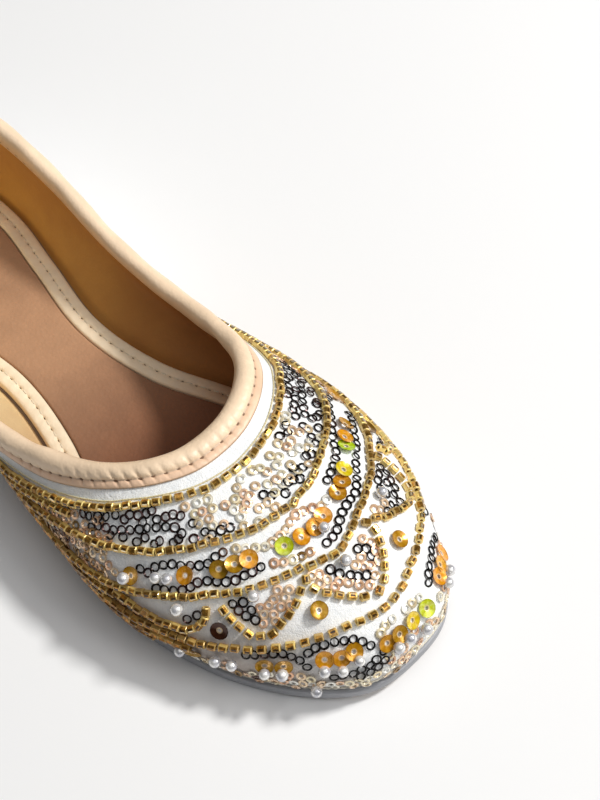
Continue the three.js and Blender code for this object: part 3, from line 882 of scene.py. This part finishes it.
PEARLS = [
    (0.5, 4.52), (-11.9, 4.93), (-12.6, 4.97), (-14.7, 5.5), (-0.3, 5.66), (-7.1, 5.5), (6.2, 5.64),
    (-12.1, 6.25), (-5.9, 8.46), (-5, 8.56), (-3.9, 8.38), (-1.5, 8.68), (-0.5, 8.7), (0.9, 8.88),
    (-9, 8.6), (-8.1, 8.57), (-6.8, 9.42), (-13.1, 8.62), (-11.3, 8.42), (-10.5, 8.42), (4.4, 8.8),
    (5.3, 8.84),
]


# ---- sizes and colours a user may change ----
def colour_prop(name, description, value):
    return FloatVectorProperty(
        name=name, description=description, subtype="COLOR", size=3, min=0, max=1, default=value
    )


def length_prop(name, description, mm):
    return FloatProperty(name=name, description=description, unit="LENGTH", default=mm * MM, min=0)


class MojariSole(bpy.types.PropertyGroup):
    edge: colour_prop("Edge", "Painted edge of the sole", (0.34, 0.345, 0.37))
    tread: colour_prop("Tread", "Plain leather under the sole", (0.36, 0.25, 0.17))
    heel: colour_prop("Heel", "Stacked heel lift", (0.40, 0.38, 0.38))
    panel: colour_prop("Insole panel", "Tan leather panel", (0.44, 0.24, 0.13))
    strip: colour_prop("Border strip", "Cream leather strip round the panel", (0.93, 0.76, 0.54))
    pitch: length_prop("Border stitch pitch", "Distance between holes in the strip", 4.4)


class MojariUpper(bpy.types.PropertyGroup):
    velvet: colour_prop("Velvet", "Short bluish-white pile", (0.96, 0.97, 0.975))
    lining: colour_prop("Lining", "Ochre tan leather inside", (1.0, 0.78, 0.42))
    cloth: length_prop("Cloth", "Thickness of the velvet and its stiffener", 1.15)


class MojariCollar(bpy.types.PropertyGroup):
    roll: colour_prop("Roll", "Cream leather of the padded roll", (0.92, 0.70, 0.49))
    flange: colour_prop("Flange", "Turned edge outside the seam", (0.88, 0.60, 0.41))
    thread: colour_prop("Thread", "Seam thread", (0.24, 0.13, 0.07))
    pitch: length_prop("Stitch pitch", "Distance between the seam's tucks", 3.6)
    tuck: length_prop("Tuck", "How deep the seam pulls the roll in", 0.75)


class MojariBeading(bpy.types.PropertyGroup):
    bead_length: length_prop("Bead length", "Cut gold bead", 2.5)
    bead_radius: length_prop("Bead radius", "Cut gold bead", 1.2)
    loose: length_prop("Pitch on the vamp", "Bead spacing near the middle line", 3.5)
    tight: length_prop("Pitch at the sides", "Bead spacing where the rows run together", 2.45)
    ring_radius: length_prop("Ring radius", "Ring sequin", 1.45)
    disc_radius: length_prop("Disc radius", "Cupped disc sequin", 2.6)
    pearl_radius: length_prop("Pearl radius", "Sewn pearl", 1.7)
    seed: IntProperty(name="Seed", description="Start of the small unevenness of hand sewing", default=7)


class MojariStage(bpy.types.PropertyGroup):
    floor: colour_prop("Floor", "Pale floor", (0.88, 0.88, 0.885))
    key: FloatProperty(name="Key light", description="Power of the main lamp", default=28.5, unit="POWER")
    sky: FloatProperty(name="Surround", description="Strength of the pale surround", default=0.08)
    lens: FloatProperty(name="Lens", description="Focal length", default=63.46, unit="CAMERA")
    distance: length_prop("Distance", "Camera to the vamp", 420)


# ---- operators ----
class MOJARI_OT_stage(bpy.types.Operator):
    """Make the floor, the lights and the camera"""

    bl_idname = "mojari.stage"
    bl_label = "Stage"

    def execute(self, context):
        s = context.scene.mojari_stage
        bm = bmesh.new()
        bmesh.ops.create_grid(bm, x_segments=1, y_segments=1, size=6)
        mesh = bpy.data.meshes.new("floor")
        bm.to_mesh(mesh)
        bm.free()
        mesh.materials.append(plain_floor("floor", s.floor))
        floor = bpy.data.objects.new("floor", mesh)
        context.scene.collection.objects.link(floor)

        world = bpy.data.worlds.new("studio")
        world.use_nodes = True
        surround = world.node_tree.nodes["Background"].inputs
        surround["Color"].default_value, surround["Strength"].default_value = (0.96, 0.98, 1.0, 1), s.sky
        context.scene.world = world
        context.scene.view_settings.view_transform = "Standard"

        aim = Vector((0.0, -0.03, 0.02))
        for name, offset, size, share, colour in (
            ("key", (1.08, -0.56, 1.46), 0.30, 1.0, (1.0, 0.985, 0.955)),
            ("second", (0.76, -1.30, 1.30), 0.80, 0.32, (1.0, 0.99, 0.97)),
            ("top", (0.0, -0.45, 2.0), 2.2, 0.42, (0.98, 0.99, 1.0)),
        ):
            light = bpy.data.lights.new(name, "AREA")
            light.shape, light.size, light.energy, light.color = "DISK", size, s.key * share, colour
            lamp = bpy.data.objects.new(name, light)
            lamp.location = aim + Vector(offset)
            lamp.rotation_euler = (-Vector(offset)).to_track_quat("-Z", "Y").to_euler()
            context.scene.collection.objects.link(lamp)

        turn, lift, roll = (math.radians(a) for a in (-45.58, 57.35, 0.15))
        back = Vector((math.sin(turn) * math.cos(lift), -math.cos(turn) * math.cos(lift), math.sin(lift)))
        right = (-back).cross(Vector((0, 0, 1))).normalized()
        down = (-back).cross(right)
        level, steep = math.cos(roll), math.sin(roll)
        right, down = right * level + down * steep, down * level - right * steep
        low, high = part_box("upper")
        target = Vector(((low.x + high.x) / 2 + 0.0356, low.y + 0.0756, 0.020))
        data = bpy.data.cameras.new("camera")
        data.lens, data.sensor_width, data.clip_start, data.clip_end = s.lens, 36, 0.02, 20
        camera = bpy.data.objects.new("camera", data)
        facing = Matrix((right, -down, back)).transposed().to_4x4()
        camera.matrix_world = Matrix.Translation(target + back * s.distance) @ facing
        context.scene.collection.objects.link(camera)
        context.scene.camera = camera
        return {"FINISHED"}


class MOJARI_OT_sole(bpy.types.Operator):
    """Make the sole with its eased edge, arch and toe spring, and the heel lift"""

    bl_idname = "mojari.sole"
    bl_label = "Sole and heel"

    def execute(self, context):
        s = context.scene.mojari_sole
        ease = 0.9
        finish = sole_leather("sole_leather", s.edge, s.tread, len(slab_section(ease)) - 1)
        show(slab(SOLE_OUT, sole_bottom, sole_top, ease), "sole", finish, "outsole", ["outsole"], sharp=60)

        bm = bmesh.new()
        arc, breast, inset, hollow, rounding = 96, 24, 0.6, 3, 0.6
        u = np.linspace(0, 0.5, 4001)
        start = float(np.interp(HEEL_BREAST + inset - LENGTH / 2, outline(u, 0 * u)[:, 1], u))
        us = start + (1 - 2 * start) * np.arange(arc + 1) / arc
        rim = outline(us, 0 * us)
        f = (np.arange(1, breast) / breast)[:, None]
        front = rim[-1] * (1 - f) + rim[0] * f
        front[:, 1] += hollow * np.sin(math.pi * f[:, 0])
        ring = np.vstack([rim, front])
        bmesh.ops.create_circle(bm, cap_ends=True, segments=len(ring), radius=1)
        bm.verts.ensure_lookup_table()
        for vert, p in zip(bm.verts, metres(ring)):
            vert.co = p
        lid = bmesh.ops.extrude_face_region(bm, geom=bm.faces[:])["geom"]
        raised = [part for part in lid if isinstance(part, bmesh.types.BMVert)]
        bmesh.ops.translate(bm, verts=raised, vec=(0, 0, HEEL_HEIGHT * MM))
        bmesh.ops.recalc_face_normals(bm, faces=bm.faces)
        ends = [e for e in bm.edges if abs(e.verts[0].co.z - e.verts[1].co.z) < 1e-6]
        bmesh.ops.bevel(
            bm, geom=ends, offset=rounding * MM, offset_type="OFFSET", segments=3, profile=0.5,
            affect="EDGES", material=-1,
        )
        show(bm, "heel", stacked_leather("heel_leather", s.heel), "heel_lift", ["heel_lift"], sharp=50)
        return {"FINISHED"}


def stitch_bar(name, half, radius):
    """One stitch of thread: a bar with rounded ends, x along the seam, mm."""
    bm = bmesh.new()
    bmesh.ops.create_uvsphere(bm, u_segments=6, v_segments=6, radius=radius * MM)
    bmesh.ops.rotate(bm, verts=bm.verts, cent=(0, 0, 0), matrix=Matrix.Rotation(math.pi / 2, 3, "Y"))
    for v in bm.verts:
        v.co.x += math.copysign((half - radius) * MM, v.co.x) if abs(v.co.x) > 1e-7 else 0
    return template(bm, name, half, radius)


def insole_foot(y):
    """Height at which the insole's panel and strip start."""
    return sole_top(y) + GAP


class MOJARI_OT_insole(bpy.types.Operator):
    """Make the tan panel and the stitched cream strip round it"""

    bl_idname = "mojari.insole"
    bl_label = "Insole"

    def execute(self, context):
        s = context.scene.mojari_sole
        thick, ease, seat = 2.5, 0.7, 2.78
        panel = slab(PANEL_OUT, insole_foot, lambda y: insole_foot(y) + thick, ease)
        # under darkens the panel beneath the vamp as painted shade.
        finish = leather(
            "insole_leather", s.panel, grain_mm=1.3, gloss=0.62, wear=0.9, relief=0.22,
            under=(0.44, 0.27, 0.2), fade=0.032,
        )
        show(panel, "insole_panel", finish, "insole", ["insole"], sharp=60)

        u0 = np.arange(2401) / 2400
        run = distances(outline(u0, 0 * u0 + STRIP_MIDDLE))
        stitches = int(round(run[-1] / (s.pitch / MM)))
        # The strip's section, as distances in from its outer edge and up from its foot.
        section = [
            (0, 0), (0, 1.9), (0.18, 2.5), (0.6, 2.85), (1.3, 3.0), (2.2, 3.02), (2.9, 2.95), (3.3, 2.84),
            (3.45, 2.8), (3.6, 2.84), (4.0, 2.95), (4.7, 3.02), (5.6, 3.0), (6.3, 2.85), (6.72, 2.5),
            (6.9, 1.9), (6.9, 0), (3.45, 0), (0, 0),
        ]
        width, height = np.array(section, float).T
        middle, swollen = 8, (4, 5, 11, 12)

        def place(share, t):
            u = np.interp(share, run / run[-1], u0)
            from_hole = ((share * stitches + 0.5) % 1 - 0.5) * s.pitch / MM
            dip = np.exp(-(from_hole / 0.8) ** 2) * np.exp(-((t - middle) / 1.4) ** 2)
            quilt = 0.08 * np.cos(2 * math.pi * share * stitches) * np.isin(t, swollen)
            p = outline(u, STRIP_OUT - width[t], insole_foot)
            p[:, 2] += height[t] - 0.8 * dip - quilt
            return p

        strip = skin(1440, len(section) - 1, place)
        finish = strip_leather("strip_leather", s.strip, stitches, middle, len(section) - 1)
        show(strip, "insole_strip", finish, "insole_border", ["insole_border"], sharp=70)

        work, up = Beadwork(stitch_bar("strip_stitch", 0.85, 0.25)), np.array([0, 0, 1.0])
        for k in range(stitches):
            u = float(np.interp((k + 0.5) / stitches, run / run[-1], u0))
            a, b = outline(np.array([u - 0.001, u + 0.001]), np.full(2, STRIP_MIDDLE), insole_foot)
            work.sew((a + b) / 2 + seat * up, b - a, up, 0.5, 0)
        work.finish("strip_stitches", thread("strip_thread", (0.80, 0.66, 0.48)), "stitching")
        return {"FINISHED"}


class MOJARI_OT_upper(bpy.types.Operator):
    """Make the velvet upper and its leather lining as two thin hollow shells"""

    bl_idname = "mojari.upper"
    bl_label = "Upper"

    def execute(self, context):
        s = context.scene.mojari_upper
        cloth = s.cloth / MM

        def shell(outer, inner, many):
            """A closed layer between two depths in the wall; the outermost is very slightly rippled."""
            down = np.concatenate([np.linspace(0, 0.1, 5), np.linspace(0.1, 1, many)[1:]])
            section = [(q, outer) for q in down[::-1]] + [(q, inner) for q in down]
            section.append(section[0])

            def place(u, t):
                q, off = by_row(section, t)
                p = WALLS.foot_blend(u, q, off)
                if outer != 0:
                    return p
                waves = np.sin(u * 2 * math.pi * 19 + q * 9) * np.sin(q * 17 + 2)
                ripple = 0.10 * waves * np.sin(math.pi * q)
                return p + WALLS.normal(u, q) * ripple[:, None]

            return skin(480, len(section) - 1, place)

        show(shell(0.0, -cloth, 34), "velvet_upper", velvet("velvet", s.velvet), "upper", ["upper"], sharp=70)
        between = 0.05
        # under and inner darken the lining beneath the vamp and on the inner side as painted shade.
        finish = leather(
            "lining_leather", s.lining, grain_mm=1.0, gloss=0.42, wear=0.35, relief=0.12,
            under=(0.5, 0.34, 0.3), fade=0.075, inner=(0.72, 0.45, 0.195),
        )
        show(shell(-cloth - between, -WALL, 26), "lining", finish, "lining", ["upper"], sharp=70)
        return {"FINISHED"}


class MOJARI_OT_collar(bpy.types.Operator):
    """Make the padded collar roll, tucked by its seam, and the seam's stitches"""

    bl_idname = "mojari.collar"
    bl_label = "Collar"

    def execute(self, context):
        s = context.scene.mojari_collar
        # (below the rim, off the face, how strongly a stitch pulls), from the flange's edge over the roll.
        section = [
            (6.3, 0.12, 0.0), (6.35, 0.5, 0.05), (5.8, 0.8, 0.12), (4.9, 0.95, 0.25), (4.05, 0.85, 0.5),
            (3.7, 0.75, 0.75), (3.42, 1.1, 1.0), (3.05, 1.55, 0.9), (2.45, 1.88, 0.6), (1.6, 2.08, 0.28),
            (0.6, 2.12, 0.1), (-0.5, 1.88, 0.03), (-1.4, 1.36, 0.0), (-2.1, 0.66, 0.0), (-2.5, -0.24, 0.0),
            (-2.56, -1.2, 0.0), (-2.26, -2.06, 0.0), (-1.6, -2.76, 0.0), (-0.6, -3.22, 0.0),
            (0.6, -3.38, 0.05), (2.0, -3.36, 0.15), (3.2, -3.16, 0.5), (3.7, -3.02, 0.3),
            (4.5, -2.96, 0.1), (4.9, -2.7, 0.0), (4.8, -2.2, 0.0), (2.6, -2.15, 0.0), (0.3, -2.15, 0.0),
            (-0.3, -1.9, 0.0), (-0.35, -0.8, 0.0),
            (-0.25, 0.1, 0.0), (2.6, 0.1, 0.0), (6.3, 0.12, 0.0),
        ]
        seam_row, inner_row = 5, 21
        u0 = np.arange(1921) / 1920
        run = distances(WALLS.below(u0, SEAM + 0 * u0, 1.0))
        stitches = int(round(run[-1] / (s.pitch / MM)))
        rng = np.random.default_rng(11)
        strength = 1 + 0.3 * rng.standard_normal(stitches).clip(-1.5, 1.5)
        tuck = s.tuck / MM

        def place(share, t):
            u = np.interp(share, run / run[-1], u0)
            below, off, pull = by_row(section, t)
            k = np.floor(share * stitches).astype(int) % stitches
            from_stitch = ((share * stitches) % 1 - 0.5) * s.pitch / MM
            wide = 0.5 + 0.5 * np.clip((3.6 - below) / 3, 0, 1)
            snug = 0.25 + 0.75 * (0.5 + 0.5 * np.cos(2 * math.pi * (u - 0.78)))
            dip = tuck * strength[k] * snug * pull * np.exp(-((from_stitch / wide) ** 2))
            swell = 0.14 * np.sin(share * 2 * math.pi * 23) * np.exp(-((below + 0.5) / 2.5) ** 2)
            lift = np.where(off > 0, off - dip, off + dip * 0.6)
            return WALLS.below(u, below + dip * 0.25, lift + swell * np.sign(off))

        bm = skin(1600, len(section) - 1, place)
        rows = len(section) - 1
        finish = collar_leather("collar_leather", s.roll, s.flange, stitches, seam_row, inner_row, rows)
        roll = show(bm, "collar_roll", finish, "collar_binding", ["collar_binding"], sharp=75)

        work = Beadwork(stitch_bar("collar_stitch", 1.0, 0.26))
        for k in range(stitches):
            u = float(np.interp((k + 0.5) / stitches, run / run[-1], u0))
            pair = WALLS.below(np.array([u - 0.0008, u + 0.0008]), np.full(2, SEAM + 0.22), 0.42)
            work.sew(pair.mean(0), pair[1] - pair[0], WALLS.normal(u, 0.05), 0.5, 0)
        work.finish("collar_stitches", thread("seam_thread", s.thread), "stitching")
        return {"FINISHED"}


def sew_cord(name, points, thick, above, colour):
    """A thread laid on the wall along half a line and its mirror, `above` millimetres nearer the rim."""
    u, q = smooth_line([(-a, b) for a, b in points[:0:-1]] + points)
    share = np.linspace(0, 1, len(u))
    count, ring, twists, taper, off = 520, 6, 150, 200, 0.15

    def on_line(at):
        return np.interp(at, share, u), np.interp(at, share, q)

    def place(at, t):
        here, step = on_line(at), 0.002
        n = WALLS.normal(*here)
        across = unit(np.cross(n, unit(WALLS.at(*on_line(at + step)) - WALLS.at(*on_line(at - step)))))
        swell = 1 + 0.22 * np.sin(at * 2 * math.pi * twists)
        radius = thick * swell * np.clip(np.minimum(at, 1 - at) * taper, 0, 1)
        turn = t / ring * 2 * math.pi
        centre = WALLS.at(here[0], here[1] - above / WALLS.length(here[0]), off)
        return centre + across * (radius * np.cos(turn))[:, None] + n * (radius * np.sin(turn))[:, None]

    show(skin(count, ring, place), name, thread(name + "_thread", colour), "stitching", sharp=80)


class MOJARI_OT_gold_rows(bpy.types.Operator):
    """Sew the rows of cut gold beads, the petal outlines and the side fill"""

    bl_idname = "mojari.gold_rows"
    bl_label = "Gold bead rows"

    def execute(self, context):
        s = context.scene.mojari_beading
        half, radius = s.bead_length / MM / 2, s.bead_radius / MM
        bore, ease, dish, sides = radius * 0.42, 0.22, 0.1, 8
        lower = [(bore, dish - half), (radius - ease, -half), (radius, ease - half)]
        bm = turned(lower + [(r, -z) for r, z in lower[::-1]], sides)
        for angle, axis in ((math.pi / sides, "Z"), (math.pi / 2, "Y")):
            bmesh.ops.rotate(bm, verts=bm.verts, cent=(0, 0, 0), matrix=Matrix.Rotation(angle, 3, axis))
        work = Beadwork(template(bm, "gold_bead", half, radius))
        rng = np.random.default_rng(s.seed)
        loose, tight = s.loose / MM, s.tight / MM

        def spacing(marks, gaps):
            """A pitch in millimetres that changes with u, in hundredths from the toe."""
            return lambda u: float(np.interp(abs(u), marks, gaps))

        pitch = spacing([0, 6, 10, 14], [loose, loose, tight + 0.45, tight])
        wide = spacing([0, 8, 11, 14], [loose + 0.45, loose + 0.45, tight + 0.6, tight])
        petal = spacing([0, 8, 11], [loose, loose - 0.1, tight])

        lines = [(points, wide if name == "toe" else pitch, 0.85) for name, points in ROWS.items()]
        lines += [(points, petal, 0.85) for points in PETAL_EDGES]
        lines += [(points, tight, 0.8) for points in SIDE_ROWS]
        for points, gap, reach in lines:
            u, q = smooth_line(points)
            for sign in (1, -1):
                for p, run, n, _ in along_wall((sign * u, q), gap, 0.5, radius * 0.82):
                    wander = np.cross(n, run) * rng.normal(0, 0.13)
                    work.sew(
                        p + wander, run, n, rng.random(), reach,
                        turn=rng.normal(0, 0.10), tip=rng.normal(0, 0.25), size=rng.normal(1, 0.03),
                    )
        glass = gilt_glass("gold_bead", (0.97, 0.67, 0.24), (0.64, 0.32, 0.05), (0.018, 0.006, 0.002))
        work.finish("gold_beads", glass, "gold_beads", smooth=False)
        sew_cord("collar_cord", ROWS["collar"], 0.22, 1.95, (0.80, 0.69, 0.42))
        sew_cord("edge_cord", EDGE_LINE, 0.34, 0.0, (0.70, 0.66, 0.56))
        return {"FINISHED"}


class MOJARI_OT_sequins(bpy.types.Operator):
    """Sew the chains and scattered ring sequins and the cupped disc sequins"""

    bl_idname = "mojari.sequins"
    bl_label = "Sequins"

    def execute(self, context):
        s = context.scene.mojari_beading
        rng = np.random.default_rng(s.seed + 1)
        disc = s.disc_radius / MM
        hole, bend = 0.62, disc * 0.6
        profile = [(hole, 0.0), (bend, 0.14), (disc, 0.5), (disc, 0.62), (bend, 0.3), (hole, 0.16)]
        discs = Beadwork(template(turned(profile, 16), "disc_sequin", disc, disc))
        for u, q, tone in DISCS:
            p, run, n = WALLS.spot(u, q, 0.45 + 0.35 * rng.random())
            discs.sew(
                p, run, n, float(np.clip(tone + rng.normal(0, 0.02), 0, 1)), 0,
                turn=rng.random(), tip=rng.normal(0, 0.12), lean=rng.normal(0.1, 0.12),
            )
        discs.finish("disc_sequins", metallised("disc_film", DISC_TONES, petals=6), "disc_sequins", sharp=50)

        out = s.ring_radius / MM

        def rings(hole):
            profile = [(out * hole, 0.05), (out * 0.92, 0.0), (out, 0.18), (out * (hole + 0.14), 0.34)]
            return Beadwork(template(turned(profile, 14), "ring_sequin", out, out))

        dark, pale = rings(0.61), rings(0.45)

        def sew(u, q, tone, reach):
            """One ring near a place of the chart."""
            p, run, n = WALLS.spot(u, q, 0.18 + 0.35 * rng.random())
            for across in (unit(run), unit(np.cross(n, run))):
                p = p + across * rng.normal(0, 0.1)
            (dark if tone < 0.4 else pale).sew(
                p, run, n, float(np.clip(tone, 0, 1)), reach, turn=rng.random(),
                tip=rng.normal(0, 0.13), lean=rng.normal(0, 0.13), size=rng.normal(1, 0.04),
            )

        for points, tone, vary in CHAINS:
            for _, _, _, (u, q) in along_wall(smooth_line(points), 2.55, 0.3):
                sew(u, q, tone + rng.normal(0, vary), 0.7)
        mirrored = [(-u, q) for u, q in DARK_BOTH]
        for places, tone, vary, reach in (
            (DARK_BOTH + mirrored, 0.1, 0.22, 0.55), (DARK, 0.05, 0.15, 0.55), (ROSE, 0.6, 0.14, 0.5),
        ):
            for u, q in places:
                sew(u, q, tone + vary * rng.random(), reach)
        # Pale rings close the ground between the two upper rows near the middle line.
        for q in (1.78, 2.1, 2.42, 2.74, 3.02):
            for u in np.arange(-7.6, 8.2, 1.12):
                a, b = u + rng.normal(0, 0.18), q + rng.normal(0, 0.05) + 0.012 * abs(u)
                if rng.random() < 0.86:
                    sew(a, b, 0.62 + 0.38 * rng.random(), 0.62)
        # Pale rings down the toe band.
        for q in (8.8, 9.0, 9.2, 9.46, 9.64):
            for u in np.arange(-15, 15.4, 1.0):
                if rng.random() < 0.8:
                    sew(u + rng.normal(0, 0.2), q + rng.normal(0, 0.04), 0.44 + 0.5 * rng.random(), 0.7)
        # Champagne rings close the sides, where the rows draw together, and keep out of the middle pattern.
        tries = 900
        for sign in (-1, 1):
            for _ in range(tries):
                u, q = rng.uniform(13.8, 27), rng.uniform(1.7, 9.3)
                above = float(np.interp(u, [13.8, 16, 20, 27], [3.0, 2.6, 3.2, 4.5]))
                if q > above and not (u < 15.6 and 4.2 < q < 6.2) and not (u < 15 and q < 7.6):
                    sew(sign * u, q, 0.41 + 0.34 * rng.random(), 0.72)
        film = metallised("ring_film", RING_TONES)
        dark.finish("dark_rings", film, "ring_sequins", sharp=60)
        pale.finish("pale_rings", film, "ring_sequins", sharp=60)
        return {"FINISHED"}


class MOJARI_OT_pearls(bpy.types.Operator):
    """Sew the pearls"""

    bl_idname = "mojari.pearls"
    bl_label = "Pearls"

    def execute(self, context):
        s = context.scene.mojari_beading
        radius = s.pearl_radius / MM
        bm = bmesh.new()
        bmesh.ops.create_uvsphere(bm, u_segments=10, v_segments=7, radius=s.pearl_radius)
        work = Beadwork(template(bm, "pearl", radius, radius))
        rng = np.random.default_rng(s.seed + 2)
        for u, q in PEARLS:
            turn, tip, size = rng.random() * 3, rng.random(), rng.normal(1, 0.04)
            work.sew(*WALLS.spot(u, q, radius + 0.35), 0.5, 0, turn=turn, tip=tip, size=size)
        work.finish("pearls", pearl_lacquer("pearl_lacquer", (0.92, 0.90, 0.87)), "pearls")
        return {"FINISHED"}


class MOJARI_PT_panel(bpy.types.Panel):
    """The shoe's pieces in the order they are made"""

    bl_idname = "MOJARI_PT_panel"
    bl_label = "Mojari Shoe"
    bl_space_type = "VIEW_3D"
    bl_region_type = "UI"
    bl_category = "Mojari"

    def draw(self, context):
        for step in STEPS:
            self.layout.operator("mojari." + step)
        for group in GROUPS:
            box = self.layout.box()
            settings = getattr(context.scene, group)
            for key in settings.bl_rna.properties.keys():
                if key not in ("rna_type", "name"):
                    box.prop(settings, key)


GROUPS = {
    "mojari_sole": MojariSole,
    "mojari_upper": MojariUpper,
    "mojari_collar": MojariCollar,
    "mojari_beading": MojariBeading,
    "mojari_stage": MojariStage,
}
OPERATORS = (
    MOJARI_OT_stage, MOJARI_OT_sole, MOJARI_OT_insole, MOJARI_OT_upper, MOJARI_OT_collar,
    MOJARI_OT_gold_rows, MOJARI_OT_sequins, MOJARI_OT_pearls,
)
STEPS = ("stage", "sole", "insole", "upper", "collar", "gold_rows", "sequins", "pearls")


def register():
    for cls in (*GROUPS.values(), *OPERATORS, MOJARI_PT_panel):
        bpy.utils.register_class(cls)
    for name, cls in GROUPS.items():
        setattr(bpy.types.Scene, name, PointerProperty(type=cls))


def unregister():
    for name in GROUPS:
        delattr(bpy.types.Scene, name)
    for cls in (MOJARI_PT_panel, *reversed(OPERATORS), *reversed(GROUPS.values())):
        bpy.utils.unregister_class(cls)


def main():
    register()
    for step in STEPS:
        getattr(bpy.ops.mojari, step)()


if __name__ == "__main__":
    main()
